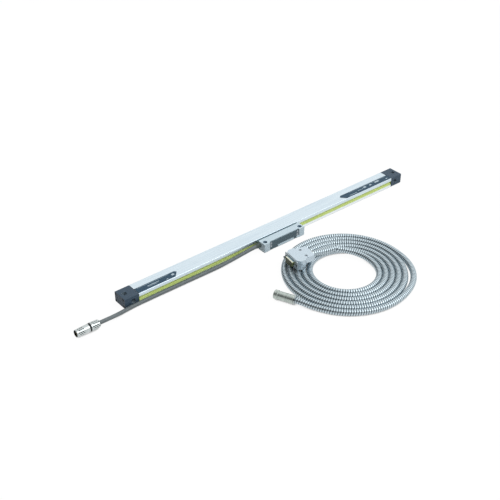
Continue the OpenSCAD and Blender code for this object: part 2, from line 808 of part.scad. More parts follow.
module socket_body() {
    r = socket_d / 2;
    rim = socket_nut_r - 0.05;
    color("#9a9f92") at_socket() difference() {
        turned_x([[2.2, 0], [2.2, r - 0.5], [2.8, r], [socket_len - 6.6, r], [socket_len - 6.2, r - 0.4],
            [socket_len - 5.6, r - 0.4], [socket_len - 5, rim], [socket_len - 0.5, rim],
            [socket_len, rim - 0.5], [socket_len, r - 1.2], [socket_len - mouth_deep, r - 1.2],
            [socket_len - mouth_deep, 0]]);
        for (a = [-17, -44]) rotate([a, 0, 0]) rod_z(r - 0.9, r + 1, socket_len - 4, 0, 0.75);
        for (k = [1 : 3]) rotate([0, 90, 0]) rotate_extrude()
            translate([r - 0.25, 4.2 + k * 3]) square([1, 0.7]);
        rod_x(socket_len - mouth_deep - 1, socket_len, 0, 0, r - 1.6);
    }
}

module socket_nut() {
    r = socket_nut_r;
    color("#d3d7d3") at_socket() turned_x([[0, 0], [0, 4.9], [0.5, r], [1.7, r], [2.2, r - 0.5], [2.2, 0]]);
}

module socket_insert() {
    x1 = socket_len - mouth_deep;
    color("#1f2423") at_socket() difference() {
        rod_x(x1 - 1, x1, 0, 0, socket_d / 2 - 1.6 - fit);
        for (k = [0 : 6]) rotate([k * 60, 0, 0]) rod_x(x1 - 0.8, x1 + 1, k == 6 ? 0 : 2, 0, 0.65 + fit);
    }
}

module socket_contacts() {
    x1 = socket_len - mouth_deep;
    color("#c9a94e") at_socket() for (k = [0 : 6]) rotate([k * 60, 0, 0]) difference() {
        rod_x(x1 - 0.8, x1 - 0.1, k == 6 ? 0 : 2, 0, 0.65);
        rod_x(x1 - 0.6, x1 + 1, k == 6 ? 0 : 2, 0, 0.42);
    }
}

// ---- D connector, laid on the coil ----

module at_dsub() {
    translate([dsub_x, dsub_y, dsub_z]) rotate([0, 0, dsub_turn]) children();
}

module hood_outline() {
    side = [
        [hood_front, hood_wing - hood_corner], [hood_front - hood_corner, hood_wing],
        [wing_rear, hood_wing], [tail_front, hood_tail], [hood_rear + 1, hood_tail - 0.9],
        [hood_rear, hood_tail - 1.9]
    ];
    polygon(concat(side, [for (k = [len(side) - 1 : -1 : 0]) [side[k][0], -side[k][1]]]));
    for (s = [-1, 1])
        translate([hood_front - hood_corner, s * (hood_wing - hood_corner)]) circle(hood_corner);
}

// the space inside, kept narrow beside the jackscrews
module hood_space(tail) {
    x0 = hood_rear + hood_wall;
    x1 = hood_front - hood_wall;
    x2 = wing_rear - 1;
    nose = shell_w / 2 - shell_t + 0.2;
    side = [[x1, nose], [x2, nose], [x2, tail], [x0, tail]];
    polygon(concat(side, [for (k = [len(side) - 1 : -1 : 0]) [side[k][0], -side[k][1]]]));
}

// one half of the hood, from the split up; the lower one stands on a narrow keel behind its wings
module hood_half(low) {
    difference() {
        union() {
            difference() {
                linear_extrude(hood_h / 2) hood_outline();
                translate([0, 0, -1]) linear_extrude(hood_h / 2 - hood_wall + 1)
                    hood_space((low ? keel_half : hood_tail - 1) - hood_wall);
                if (low) for (s = [0, 1]) mirror([0, s, 0])
                    box([hood_rear - 1, keel_half, hood_wall], [tail_front + 0.5, hood_wing + 1, hood_h]);
            }
            for (s = [-1, 1]) rod_z(0, hood_h / 2, 0, s * hood_screw_y, low ? 2 : hood_screw_r + 0.9);
        }
        box([hood_front - hood_wall - 1, -8.3, -1], [hood_front + 1, 8.3, 4.2]);
        rod_x(hood_rear - 1, hood_rear + hood_wall + 1, 0, 0, ferrule_r - 1 + fit);
        for (s = [-1, 1]) {
            rod_x(jack_rear - 2, hood_front + 1, s * jack_y, 0, jack_r + jack_air);
            rod_x(jack_seat - 0.2, jack_seat + jack_head_len + 0.2, s * jack_y, 0, jack_head_r + 0.15);
            rod_z(-1, hood_h, 0, s * hood_screw_y, 0.9 + fit);
            if (!low) rod_z(hood_h / 2 - hood_screw_sunk, hood_h, 0, s * hood_screw_y, hood_screw_r + fit);
        }
    }
}

// the upper half has a shallow groove from one screw to the side
module hood_upper() {
    color("#cfdde8") at_dsub() difference() {
        hood_half(false);
        box([-0.5, hood_screw_y + 2.4, hood_h / 2 - 0.7], [0.5, hood_wing + 1, hood_h]);
    }
}

module hood_lower() { color("#cfdde8") at_dsub() mirror([0, 0, 1]) hood_half(true); }

module hood_screws() {
    seat = hood_h / 2 - hood_screw_sunk;
    color("#8c9499") at_dsub() for (s = [-1, 1]) difference() {
        union() {
            rod_z(1 - hood_h / 2, seat, 0, s * hood_screw_y, 0.9);
            rod_z(seat, seat + 0.9, 0, s * hood_screw_y, hood_screw_r);
        }
        box([-2.5, s * hood_screw_y - 0.3, seat + 0.5], [2.5, s * hood_screw_y + 0.3, hood_h]);
    }
}

// the D shape of the shell, wider at the top
module d_face(w, h) {
    lean = h * tan(10);
    corner = 1.6;
    hull() for (s = [-1, 1]) {
        translate([s * (w / 2 - corner), h / 2 - corner]) circle(corner, $fn = 24);
        translate([s * (w / 2 - corner - lean), corner - h / 2]) circle(corner, $fn = 24);
    }
}

module dsub_shell() {
    inner_w = shell_w - 2 * shell_t;
    inner_h = shell_h - 2 * shell_t;
    color("#d8cfa8") at_dsub() difference() {
        union() {
            along_x(hood_front, flange_t) round_rect(flange_w, flange_h, 1.6);
            along_x(hood_front, flange_t + shell_len) d_face(shell_w, shell_h);
        }
        along_x(hood_front - 1, flange_t + shell_len + 2) d_face(inner_w, inner_h);
        for (s = [-1, 1]) rod_x(hood_front - 1, hood_front + 2, s * jack_y, 0, 1.6);
    }
}

module contact_holes() {
    for (k = [0 : 4]) translate([(k - 2) * 2.77, 1.42]) circle(0.55);
    for (k = [0 : 3]) translate([(k - 1.5) * 2.77, -1.42]) circle(0.55);
}

module dsub_insert() {
    all_round = 2 * shell_t + 0.1;
    color("#1c1f21") at_dsub() difference() {
        along_x(hood_front - insert_back, insert_back + flange_t + shell_len - 0.3)
            d_face(shell_w - all_round, shell_h - all_round);
        along_x(hood_front + shell_len - 2, 5) contact_holes();
    }
}

module dsub_contacts() {
    color("#c9a94e") at_dsub() along_x(hood_front + shell_len - 2, 0.8) contact_holes();
}

module cable_clamp() {
    color("#9aa3ab") at_dsub() difference() {
        box([hood_rear + 3, -4.9, -hood_h / 2 + hood_wall], [hood_rear + 6, 4.9, 4.8]);
        rod_x(hood_rear, hood_rear + 8, 0, 0, 2.6);
    }
}

module hood_ferrule() {
    color("#b4babd") at_dsub() {
        rod_x(hood_rear - ferrule_len, hood_rear, 0, 0, ferrule_r);
        rod_x(hood_rear, hood_rear + hood_wall + 1, 0, 0, ferrule_r - 1);
    }
}

module jackscrew(s) {
    color("#8c9499") at_dsub() translate([0, s * jack_y, 0]) difference() {
        union() {
            rod_x(jack_rear, jack_tip, 0, 0, jack_r);
            rod_x(jack_seat, jack_seat + jack_head_len, 0, 0, jack_head_r);
        }
        for (k = [0 : 7]) rotate([k * 45, 0, 0])
            rod_x(jack_seat + 1, jack_seat + jack_head_len - 1, jack_head_r + 0.2, 0, 0.4);
        box([jack_rear - 1, -2, -0.25], [jack_rear + 0.8, 2, 0.25]);
    }
}

scale_housing();
upper_seal_lip();
lower_seal_lip();
glass_scale();
glass_bead();
left_end_block();
right_end_block();
left_end_gasket();
right_end_gasket();
end_block_screws();
left_label_plate();
right_label_plate();
scanning_carriage();
roller_pins();
top_roller(0);  // top_roller_left
top_roller(1);  // top_roller_right
top_roller(2);  // top_roller_middle
edge_roller(0);  // edge_roller_left
edge_roller(1);  // edge_roller_right
lamp_holder();
lamp();
condenser_lens();
index_grating();
photocell_board();
coupling_spring();
coupling_blade();
blade_screws();
head_block();
head_gasket();
head_cover();
head_cover_screws();
head_board();
cable_gland();
head_cable();
plug_backshell();
plug_seal();
plug_ring();
plug_insert();
plug_pins();
signal_coil();
signal_lead();
signal_tail();
socket_body();
socket_nut();
socket_insert();
socket_contacts();
hood_upper();
hood_lower();
hood_screws();
dsub_shell();
dsub_insert();
dsub_contacts();
cable_clamp();
hood_ferrule();
jackscrew(1);  // jackscrew_near
jackscrew(-1);  // jackscrew_far
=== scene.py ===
import math

import bmesh
import bpy
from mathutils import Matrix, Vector


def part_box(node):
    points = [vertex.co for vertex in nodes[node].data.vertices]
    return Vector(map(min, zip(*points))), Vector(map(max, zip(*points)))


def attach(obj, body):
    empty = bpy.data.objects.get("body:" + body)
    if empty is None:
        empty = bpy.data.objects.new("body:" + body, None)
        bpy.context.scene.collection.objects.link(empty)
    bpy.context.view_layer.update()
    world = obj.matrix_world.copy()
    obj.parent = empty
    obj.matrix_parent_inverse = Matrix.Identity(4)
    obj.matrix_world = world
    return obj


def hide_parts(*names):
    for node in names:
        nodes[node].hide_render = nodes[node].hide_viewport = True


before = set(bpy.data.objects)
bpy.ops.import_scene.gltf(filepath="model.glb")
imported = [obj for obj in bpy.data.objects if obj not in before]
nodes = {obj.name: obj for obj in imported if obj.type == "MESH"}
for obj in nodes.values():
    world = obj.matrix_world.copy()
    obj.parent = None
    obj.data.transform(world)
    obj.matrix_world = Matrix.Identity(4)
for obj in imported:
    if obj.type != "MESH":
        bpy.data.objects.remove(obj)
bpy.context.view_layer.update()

scene = bpy.context.scene
mm = 0.001


def point(p):
    return Vector(p) * mm


def linear(hexColour):  # sRGB hex to linear RGBA
    parts = [int(hexColour[i:i + 2], 16) / 255 for i in (1, 3, 5)]
    return [c / 12.92 if c <= 0.04045 else ((c + 0.055) / 1.055) ** 2.4 for c in parts] + [1]


# camera: a long lens, a little above the scale and off its left end
cameraView = {
    "place": (-714.8, -827.3, 724.3),
    "turn": (55.608, 0, -39.268),
    "lens": 67.23,
    "sensor": 36,
    "reach": 20,  # how far it sees, in metres
}

cameraData = bpy.data.cameras.new("camera")
cameraData.lens = cameraView["lens"]
cameraData.sensor_width = cameraView["sensor"]
cameraData.clip_end = cameraView["reach"]
camera = bpy.data.objects.new("camera", cameraData)
camera.location = point(cameraView["place"])
camera.rotation_euler = [math.radians(a) for a in cameraView["turn"]]
scene.collection.objects.link(camera)
scene.camera = camera
scene.view_settings.view_transform = "Standard"


def between(a, b, c, d, t):  # a smooth curve from b to c, with a and d as the points before and after
    ab, bc, cd = [max((q - p).length, 1e-6) ** 0.5 for p, q in ((a, b), (b, c), (c, d))]
    leave = (c - b) + bc * ((b - a) / ab - (c - a) / (ab + bc))
    reach = (c - b) + bc * ((d - c) / cd - (d - b) / (bc + cd))
    t2, t3 = t * t, t * t * t
    return (2 * t3 - 3 * t2 + 1) * b + (t3 - 2 * t2 + t) * leave + (3 * t2 - 2 * t3) * c + (t3 - t2) * reach


def smoothRoute(points, step):  # evenly spaced points on one smooth curve
    parts = 12  # what each span is cut into before its points are spread evenly
    ends = [2 * points[0] - points[1]] + points + [2 * points[-1] - points[-2]]
    fine = [between(*ends[i - 1:i + 3], k / parts) for i in range(1, len(ends) - 2) for k in range(parts)]
    fine.append(points[-1])
    total = sum((q - p).length for p, q in zip(fine, fine[1:]))
    gap = total / max(1, round(total / step))
    route, spare = [fine[0]], 0.0
    for p, q in zip(fine, fine[1:]):
        run = (q - p).length
        while run > 0 and spare + run >= gap:
            cut = (gap - spare) / run
            p = p.lerp(q, cut)
            run = (q - p).length
            spare = 0.0
            route.append(p)
        spare += run
    if (route[-1] - fine[-1]).length > gap * 0.4:  # the end itself, unless a point is already near it
        route.append(fine[-1])
    return route


def routeLength(route):
    return sum((q - p).length for p, q in zip(route, route[1:]))


def tubeCurve(name, route, diameter, sides):
    curve = bpy.data.curves.new(name, "CURVE")
    curve.dimensions = "3D"
    curve.twist_mode = "Z_UP"
    curve.bevel_depth = diameter / 2
    curve.bevel_resolution = (sides - 4) // 2  # this gives the tube that many sides
    curve.use_fill_caps = True
    spline = curve.splines.new("POLY")
    spline.points.add(len(route) - 1)
    for knot, place in zip(spline.points, route):
        knot.co = (*place, 1)
    spline.use_smooth = True
    tube = bpy.data.objects.new(name, curve)
    scene.collection.objects.link(tube)
    return tube


# thin round cable from the head's strain relief to the round plug
headCable = {
    "diameter": 5.2,
    "length": 0.252,  # in metres, along its line
    "sides": 24,
    "step": 2,  # between the points on its line, in mm
    "exit": (-41.5, -16, 0),
    "steps": [  # from the exit, in mm: out of the relief, down on the table, and up into the plug
        (0, 0, 8), (-5, 0.1, 7.65), (-11, 0.3, 6.9), (-18, 0.45, 6.1), (-26, 0.55, 5.3), (-35, 0.6, 4.5),
        (-45, 0.6, 3.8), (-55, 0.6, 3.2), (-66, 0.6, 2.8), (-78, 0.7, 2.65), (-93, 0.9, 2.65),
        (-108, 1.05, 2.65), (-123, 1.2, 2.65), (-138, 1.3, 2.65), (-153, 1.4, 2.65), (-168, 1.5, 2.65),
        (-179, 1.55, 2.65), (-190, 1.5, 2.65), (-200, 1.1, 2.65), (-210, 0.2, 2.75), (-219, -1, 3.1),
        (-228, -2.3, 3.9), (-237, -3.4, 4.9), (-244.5, -4.1, 5.6), (-251.5, -4.3, 5.9),
    ],
}
headRoute = smoothRoute([point(headCable["exit"]) + point(s) for s in headCable["steps"]], headCable["step"] * mm)
headCablePiece = tubeCurve("headCable", headRoute, headCable["diameter"] * mm, headCable["sides"])
print("head cable", round(routeLength(headRoute), 3), "m")

# armoured cable: up over the coil from the D connector, round and round outwards, and out to the socket
armouredCable = {
    "diameter": 8.4,
    "length": 2.36,  # in metres, along its line
    "sides": 14,
    "ringStep": 0.5,  # between the points on its line, in mm
    "ridgePitch": 3.15,
    "ridgeDepth": 0.55,
    "ridgePower": 3,  # 2 gives a round back, and more gives a flatter one with a narrower groove
    "coilCentre": (17.4, -131.9),
    "coilAngles": (204, 2121),  # degrees, from the outermost turn inwards
    "coilStep": 10,  # degrees between the points on the wound part
    "coilRadius": 81.6,  # at the radius angle; each turn after it is smaller by the turn gap
    "radiusAngle": 501,
    "turnGap": 8.45,
    "lowHeight": 4.25,
    "bulge": {"angle": 318, "spread": 42, "out": 2.6},  # the outermost turn stands away here
    # degrees past the last turn, radius and height as it climbs over the turns below it
    "climb": [(20, 43.1, 4.5), (45, 42.6, 5.6), (68, 42.4, 7.3), (88, 42.5, 9.6), (101, 43.2, 11.6)],
    "tail": [(36, -92, 12.7), (30, -90.6, 12.7), (24, -89.4, 12.8), (17, -88.2, 13.4), (10, -87.1, 14.4),
             (4.5, -86.2, 15.2), (-1, -85.3, 15.5)],
    "socketRun": [(-77, -139.1, 6.2), (-73.5, -147, 5.7), (-69, -157, 4.8)],
}


def coilPoint(angle, radius, height):
    centre = armouredCable["coilCentre"]
    a = math.radians(angle)
    return point((centre[0] + radius * math.cos(a), centre[1] + radius * math.sin(a), height))


def coilRadius(angle):
    bulge = armouredCable["bulge"]
    off = abs(angle - bulge["angle"]) / bulge["spread"]
    radius = armouredCable["coilRadius"] - armouredCable["turnGap"] * (angle - armouredCable["radiusAngle"]) / 360
    return radius + (bulge["out"] * math.cos(off * math.pi / 2) ** 2 if off < 1 else 0)


firstAngle, lastAngle = armouredCable["coilAngles"]
woundSteps = round((lastAngle - firstAngle) / armouredCable["coilStep"])
wound = [firstAngle + (lastAngle - firstAngle) * i / woundSteps for i in range(woundSteps + 1)]
coilPoints = [coilPoint(a, coilRadius(a), armouredCable["lowHeight"]) for a in wound]
climbPoints = [coilPoint(lastAngle + a, r, z) for a, r, z in armouredCable["climb"]]
tailPoints = [point(p) for p in armouredCable["tail"]]
socketPoints = [point(p) for p in armouredCable["socketRun"]]
armouredPoints = socketPoints + coilPoints + climbPoints + tailPoints
armouredRoute = smoothRoute(armouredPoints[::-1], armouredCable["ringStep"] * mm)


def ridgedTube(name, route, cable):  # a tube pressed in between the turns of its interlocked strip
    smooth = tubeCurve(name + "Line", route, cable["diameter"] * mm, cable["sides"])
    smooth.data.use_fill_caps = False
    seen = bpy.context.evaluated_depsgraph_get()
    mesh = bpy.data.meshes.new_from_object(smooth.evaluated_get(seen))
    mesh.name = name
    bpy.data.objects.remove(smooth)
    tube = bpy.data.objects.new(name, mesh)
    scene.collection.objects.link(tube)
    shape = bmesh.new()
    shape.from_mesh(mesh)
    shape.verts.ensure_lookup_table()
    crest = shape.verts.layers.float.new("crest")
    sides = cable["sides"]
    for i, middle in enumerate(route):
        for k in range(sides):
            v = shape.verts[i * sides + k]
            turn = (i * cable["ringStep"] / cable["ridgePitch"] + k / sides) % 1
            high = 1 - abs(2 * turn - 1) ** cable["ridgePower"]
            v[crest] = high
            v.co = middle + (v.co - middle) * (1 - (1 - high) * cable["ridgeDepth"] * 2 / cable["diameter"])
    bmesh.ops.holes_fill(shape, edges=[e for e in shape.edges if e.is_boundary], sides=0)
    for face in shape.faces:
        face.smooth = True
    shape.to_mesh(mesh)
    shape.free()
    return tube


armouredPiece = ridgedTube("armouredCable", armouredRoute, armouredCable)
print("armoured cable", round(routeLength(armouredRoute), 3), "m,", len(armouredPiece.data.polygons), "faces")

# sockets that have no name of their own on a Mix node: for colours, and for numbers
factor, colourA, colourB, colourMixed = 0, 6, 7, 2
numberA, numberB, numberMixed = 2, 3, 0


def addNode(tree, kind, settings=None, links=None):  # a node with its settings, its sockets' values and its links
    node = tree.nodes.new(kind)
    for key, value in (settings or {}).items():
        if isinstance(key, str) and hasattr(node, key):
            setattr(node, key, value)
        else:
            node.inputs[key].default_value = value
    for key, source in (links or {}).items():
        tree.links.new(source, node.inputs[key])
    return node


def newMaterial(name, colour, roughness, metallic=0.0, **sockets):
    material = bpy.data.materials.new(name)
    material.use_nodes = True
    shader = material.node_tree.nodes["Principled BSDF"]
    shader.inputs["Base Color"].default_value = linear(colour)
    shader.inputs["Roughness"].default_value = roughness
    shader.inputs["Metallic"].default_value = metallic
    for key, value in sockets.items():
        shader.inputs[key].default_value = value
    return material


def pattern(material, sizes, turn=0.0, detail=2.0):  # noise whose grains have these sizes in mm along X, Y and Z
    tree = material.node_tree
    place = addNode(tree, "ShaderNodeTexCoord")
    fitted = addNode(tree, "ShaderNodeMapping",
                     {"vector_type": "TEXTURE", "Rotation": (0, 0, math.radians(turn)),
                      "Scale": [s * mm for s in sizes]},
                     {"Vector": place.outputs["Object"]})
    noise = addNode(tree, "ShaderNodeTexNoise", {"Scale": 1.0, "Detail": detail},
                    {"Vector": fitted.outputs["Vector"]})
    return noise.outputs["Fac"]


def axesFrom(material, place, turn=0.0, along=1.0):  # X, Y and Z in metres from a place in mm, turned about Z
    tree = material.node_tree
    where = addNode(tree, "ShaderNodeTexCoord")
    fitted = addNode(tree, "ShaderNodeMapping",
                     {"vector_type": "TEXTURE", "Location": point(place), "Rotation": (0, 0, math.radians(turn)),
                      "Scale": (along, 1, 1)},
                     {"Vector": where.outputs["Object"]})
    return fitted.outputs["Vector"]


noiseLow, noiseHigh = 0.3, 0.7  # nearly all of a noise lies between these


# one source sets colour, roughness and relief: stops are pairs of place and colour, roughness is a least and a most
# value, and relief is a depth in mm and a strength
def surface(material, source, stops=None, rough=None, relief=None):
    tree = material.node_tree
    shader = tree.nodes["Principled BSDF"]
    if stops:
        ramp = addNode(tree, "ShaderNodeValToRGB", {"name": "tone"}, {"Fac": source})
        keys = ramp.color_ramp.elements
        while len(keys) < len(stops):
            keys.new(0.5)
        for key, (at, colour) in zip(keys, stops):
            key.position = at
            key.color = linear(colour)
        tree.links.new(ramp.outputs["Color"], shader.inputs["Base Color"])
    if rough:
        spread = addNode(tree, "ShaderNodeMapRange", {"From Min": noiseLow, "From Max": noiseHigh,
                         "To Min": rough[0], "To Max": rough[1]}, {"Value": source})
        tree.links.new(spread.outputs["Result"], shader.inputs["Roughness"])
    if relief:
        depth, strength = relief
        bump = addNode(tree, "ShaderNodeBump", {"Strength": strength, "Distance": depth * mm}, {"Height": source})
        tree.links.new(bump.outputs["Normal"], shader.inputs["Normal"])


def setColour(material, source):  # the shader's colour from this output, in place of the one it had
    tree = material.node_tree
    tree.links.new(source, tree.nodes["Principled BSDF"].inputs["Base Color"])


slotMiddle = (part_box("lower_seal_lip")[1].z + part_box("upper_seal_lip")[0].z) / 2
# a painted highlight: the front of the lower jaw is painted paler, for the light that the floor throws up on it
jawPaintedLight = {"tone": "#e6edf1", "fade": (-6, -9)}  # the paler tone comes in between these places on Y, in mm


# extruded aluminium, satin anodised: pale and faintly blue, with the die's lines running along it;
# real lines are 0.1 mm apart and are drawn 0.9 mm apart so that they show; the lower jaw is painted paler, a painted
# highlight
def extrudedAluminium():
    m = newMaterial("anodisedExtrusion", "#d3e0ea", 0.36, 1.0)
    lines = pattern(m, (60, 0.9, 0.9), detail=3)
    surface(m, lines, [(0.3, "#c3d2dd"), (0.5, "#d1dfe7"), (0.7, "#dce8ee")], (0.3, 0.46), (0.02, 0.35))
    tree = m.node_tree
    # painted highlight: below the slot the colour fades to a paler tone towards the front
    spot = addNode(tree, "ShaderNodeSeparateXYZ", None, {"Vector": axesFrom(m, (0, 0, 0))})
    under = addNode(tree, "ShaderNodeMath", {"operation": "LESS_THAN", 1: slotMiddle}, {0: spot.outputs["Z"]})
    start, end = jawPaintedLight["fade"]
    jaw = addNode(tree, "ShaderNodeMapRange", {"From Min": start * mm, "From Max": end * mm},
                  {"Value": spot.outputs["Y"]})
    share = addNode(tree, "ShaderNodeMath", {"operation": "MULTIPLY"},
                    {0: under.outputs[0], 1: jaw.outputs["Result"]})
    mixed = addNode(tree, "ShaderNodeMix", {"data_type": "RGBA", colourB: linear(jawPaintedLight["tone"])},
                    {factor: share.outputs[0], colourA: tree.nodes["tone"].outputs["Color"]})
    setColour(m, mixed.outputs[colourMixed])
    return m


# aluminium under a slate textured powder coat: fine matt grains, about 0.5 mm wide, in three close tones
def powderCoat(name, dark, mid, light, grain=0.5):
    m = newMaterial(name, mid, 0.5, 0.0, **{"Specular IOR Level": 0.3})
    grains = pattern(m, (grain, grain, grain), detail=3)
    surface(m, grains, [(0.32, dark), (0.5, mid), (0.68, light)], (0.42, 0.6), (0.06, 0.5))
    return m


# holes through the end blocks and through the head: the other axis, the place on X and on that axis, and a radius a
# little over the drill's, all in mm
# the end blocks' bore walls are painted paler than the coat, painted light that lifts the shade in the holes
blockBoresPaintedLight = {
    "holes": [("Y", 243, 0), ("Y", -243, 0), ("Z", 237, 7.5), ("Z", -237, 7.5)],
    "radius": 3.35,
    "tone": "#75858f",
}
# the head's bore walls are painted darker than its aluminium, painted shade
headBoresPaintedShade = {"holes": [("Y", -29.4, -21.5), ("Y", 33.4, -21.5)], "radius": 3.15, "tone": "#90a8b8"}


# fixing holes: their walls take a tone of their own, painted light in the end blocks' bores and painted shade in the
# head's
def paintedBoreLightAndShade(m, bores):
    tree = m.node_tree
    tone = tree.nodes["tone"].outputs["Color"]
    spot = addNode(tree, "ShaderNodeSeparateXYZ", None, {"Vector": axesFrom(m, (0, 0, 0))})
    for axis, x, at in bores["holes"]:
        flat = addNode(tree, "ShaderNodeCombineXYZ", None, {"X": spot.outputs["X"], "Y": spot.outputs[axis]})
        away = addNode(tree, "ShaderNodeVectorMath", {"operation": "DISTANCE", 1: point((x, at, 0))},
                       {0: flat.outputs["Vector"]})
        inside = addNode(tree, "ShaderNodeMath", {"operation": "LESS_THAN", 1: bores["radius"] * mm},
                         {0: away.outputs["Value"]})
        mixed = addNode(tree, "ShaderNodeMix", {"data_type": "RGBA", colourB: linear(bores["tone"])},
                        {factor: inside.outputs[0], colourA: tone})
        tone = mixed.outputs[colourMixed]
    setColour(m, tone)
    return m


# polyurethane sealing lip: lime, satin, slightly drawn along its length by the extruder
def limeElastomer():
    m = newMaterial("limeElastomer", "#cfe384", 0.42)
    lines = pattern(m, (25, 0.7, 0.7))
    surface(m, lines, [(0.3, "#c0d670"), (0.5, "#cfe384"), (0.7, "#dcee98")], (0.34, 0.5), (0.03, 0.4))
    return m


# aluminium, bead blasted and anodised: satin and without direction; its 0.1 mm dimples are drawn 0.6 mm wide or more
# so that they show
def blastedAluminium(name, dark, light, grain=0.6, metallic=1.0):
    m = newMaterial(name, light, 0.45, metallic)
    dimples = pattern(m, (grain, grain, grain), detail=3)
    surface(m, dimples, [(noiseLow, dark), (noiseHigh, light)], (0.38, 0.52), (0.03, 0.5))
    return m


socketTurn, dConnectorTurn = 113.5, 171  # the ways they point, in degrees about Z


# turned and plated metal: rings left by the tool, 0.25 mm apart along its axis
def turnedMetal(name, dark, light, low, high, turn=0.0, gap=0.25, metallic=1.0):
    m = newMaterial(name, light, high, metallic)
    rings = pattern(m, (gap, 30, 30), turn)
    surface(m, rings, [(noiseLow, dark), (noiseHigh, light)], (low, high), (0.01, 0.4))
    return m


plugAxis = (0, -20.3, 5.9)  # a place on the line through the plug's middle, in mm

# the plug's two grips: the skin is X and radius at both ends of each, in mm
backshellGrip = {"skin": ((-294.2, 5.15), (-305.8, 5.85))}
ringGrip = {"skin": ((-315.4, 5.25), (-325.9, 4.9))}
# painted shade: the floors of the grip pockets are painted dark
pocketPaintedShade = {"tone": "#36403f", "depth": (0.08, 0.3)}  # it darkens between these depths under the skin, in mm


# satin nickel with milled grip pockets: bright skin, and the pocket floors darkened with painted shade
def grippedNickel(name, grip):
    m = turnedMetal(name, "#a6aeae", "#d6dcdc", 0.18, 0.3)
    tree = m.node_tree
    farStretch = 1e6  # takes the length along the plug out of the distance, which leaves the radius
    radius = addNode(tree, "ShaderNodeVectorMath", {"operation": "LENGTH"},
                     {0: axesFrom(m, plugAxis, along=farStretch)})
    spot = addNode(tree, "ShaderNodeSeparateXYZ", None, {"Vector": axesFrom(m, (0, 0, 0))})
    (x0, r0), (x1, r1) = grip["skin"]
    full = addNode(tree, "ShaderNodeMapRange",
                   {"From Min": x0 * mm, "From Max": x1 * mm, "To Min": r0 * mm, "To Max": r1 * mm},
                   {"Value": spot.outputs["X"]})
    depth = addNode(tree, "ShaderNodeMath", {"operation": "SUBTRACT"},
                    {0: full.outputs["Result"], 1: radius.outputs["Value"]})
    start, end = pocketPaintedShade["depth"]
    pocketShadeShare = addNode(tree, "ShaderNodeMapRange", {"From Min": start * mm, "From Max": end * mm},
                   {"Value": depth.outputs[0]})
    mixed = addNode(tree, "ShaderNodeMix", {"data_type": "RGBA", colourB: linear(pocketPaintedShade["tone"])},
                    {factor: pocketShadeShare.outputs["Result"], colourA: tree.nodes["tone"].outputs["Color"]})
    setColour(m, mixed.outputs[colourMixed])
    return m


# moulded goods without direction: rubber, nylon, resin, cable jacket; low and high are its roughness, and grain and
# depth are its texture in mm
def mouldedPlastic(name, dark, light, low, high, grain, depth, **sockets):
    m = newMaterial(name, light, high, 0.0, **sockets)
    grains = pattern(m, (grain, grain, grain), detail=3)
    surface(m, grains, [(noiseLow, dark), (noiseHigh, light)], (low, high), (depth, 0.5))
    return m


# galvanised strip, wound and interlocked: painted highlights on the backs and painted shade in the grooves
def armourStrip():
    m = newMaterial("galvanisedStripPaintedLight", "#a9b8bf", 0.36, 0.9)
    tree = m.node_tree
    crest = addNode(tree, "ShaderNodeAttribute", {"attribute_name": "crest"})
    # painted light: the crest makes the grooves dark with painted shade and the backs bright with painted highlights
    surface(m, crest.outputs["Fac"], [(0.12, "#263036"), (0.55, "#75858d"), (0.94, "#c6d4db")])
    surface(m, pattern(m, (1.2, 1.2, 1.2), detail=3), rough=(0.28, 0.46))
    return m


# the two labels: each rule has its place across and its width in mm, and its start and end as shares of the length
labelInks = {"film": "#3c5a70", "filmDark": "#304757", "ink": "#b6c8d2"}
labelRules = {
    "left_label_plate": [(0.0, 1.0, 0.26, 0.54), (-1.9, 0.5, 0.26, 0.48), (-3.4, 1.3, 0.69, 0.73),
                         (0.4, 3.4, 0.85, 0.91), (3.9, 0.4, 0.06, 0.8)],
    "right_label_plate": [(-2.8, 0.8, 0.15, 0.3), (-0.7, 0.8, 0.34, 0.45), (0.6, 3.2, 0.47, 0.52),
                          (0.2, 2.6, 0.59, 0.63), (1.2, 3.0, 0.71, 0.8), (-1.8, 1.4, 0.92, 0.96),
                          (3.9, 0.4, 0.2, 0.96)],
}


# screen printed polyester film, slate with pale rules and no words: nearly matt, with fine uneven grains of ink
def printedFilm(name, node, rules):
    m = newMaterial(name, labelInks["film"], 0.5, 0.0, **{"Specular IOR Level": 0.15})
    tree = m.node_tree
    grains = pattern(m, (0.8, 0.8, 0.8), detail=3)
    surface(m, grains, [(noiseLow, labelInks["filmDark"]), (noiseHigh, labelInks["film"])], (0.44, 0.58))
    axes = addNode(tree, "ShaderNodeSeparateXYZ", None, {"Vector": axesFrom(m, (0, 0, 0))})

    def stripe(axis, at, width):  # 1 within a line of this width about this place
        off = addNode(tree, "ShaderNodeMath", {"operation": "SUBTRACT", 1: at}, {0: axes.outputs[axis]})
        size = addNode(tree, "ShaderNodeMath", {"operation": "ABSOLUTE"}, {0: off.outputs[0]})
        return addNode(tree, "ShaderNodeMath", {"operation": "LESS_THAN", 1: width / 2}, {0: size.outputs[0]})

    low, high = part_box(node)
    tone = tree.nodes["tone"].outputs["Color"]
    for at, width, start, end in rules:
        line = stripe("Y", (low.y + high.y) / 2 + at * mm, width * mm)
        x0, x1 = low.x + start * (high.x - low.x), low.x + end * (high.x - low.x)
        run = stripe("X", (x0 + x1) / 2, x1 - x0)
        ink = addNode(tree, "ShaderNodeMath", {"operation": "MULTIPLY"}, {0: line.outputs[0], 1: run.outputs[0]})
        mixed = addNode(tree, "ShaderNodeMix", {"data_type": "RGBA", colourB: linear(labelInks["ink"])},
                        {factor: ink.outputs[0], colourA: tone})
        tone = mixed.outputs[colourMixed]
    setColour(m, tone)
    return m


glassIor = 1.52


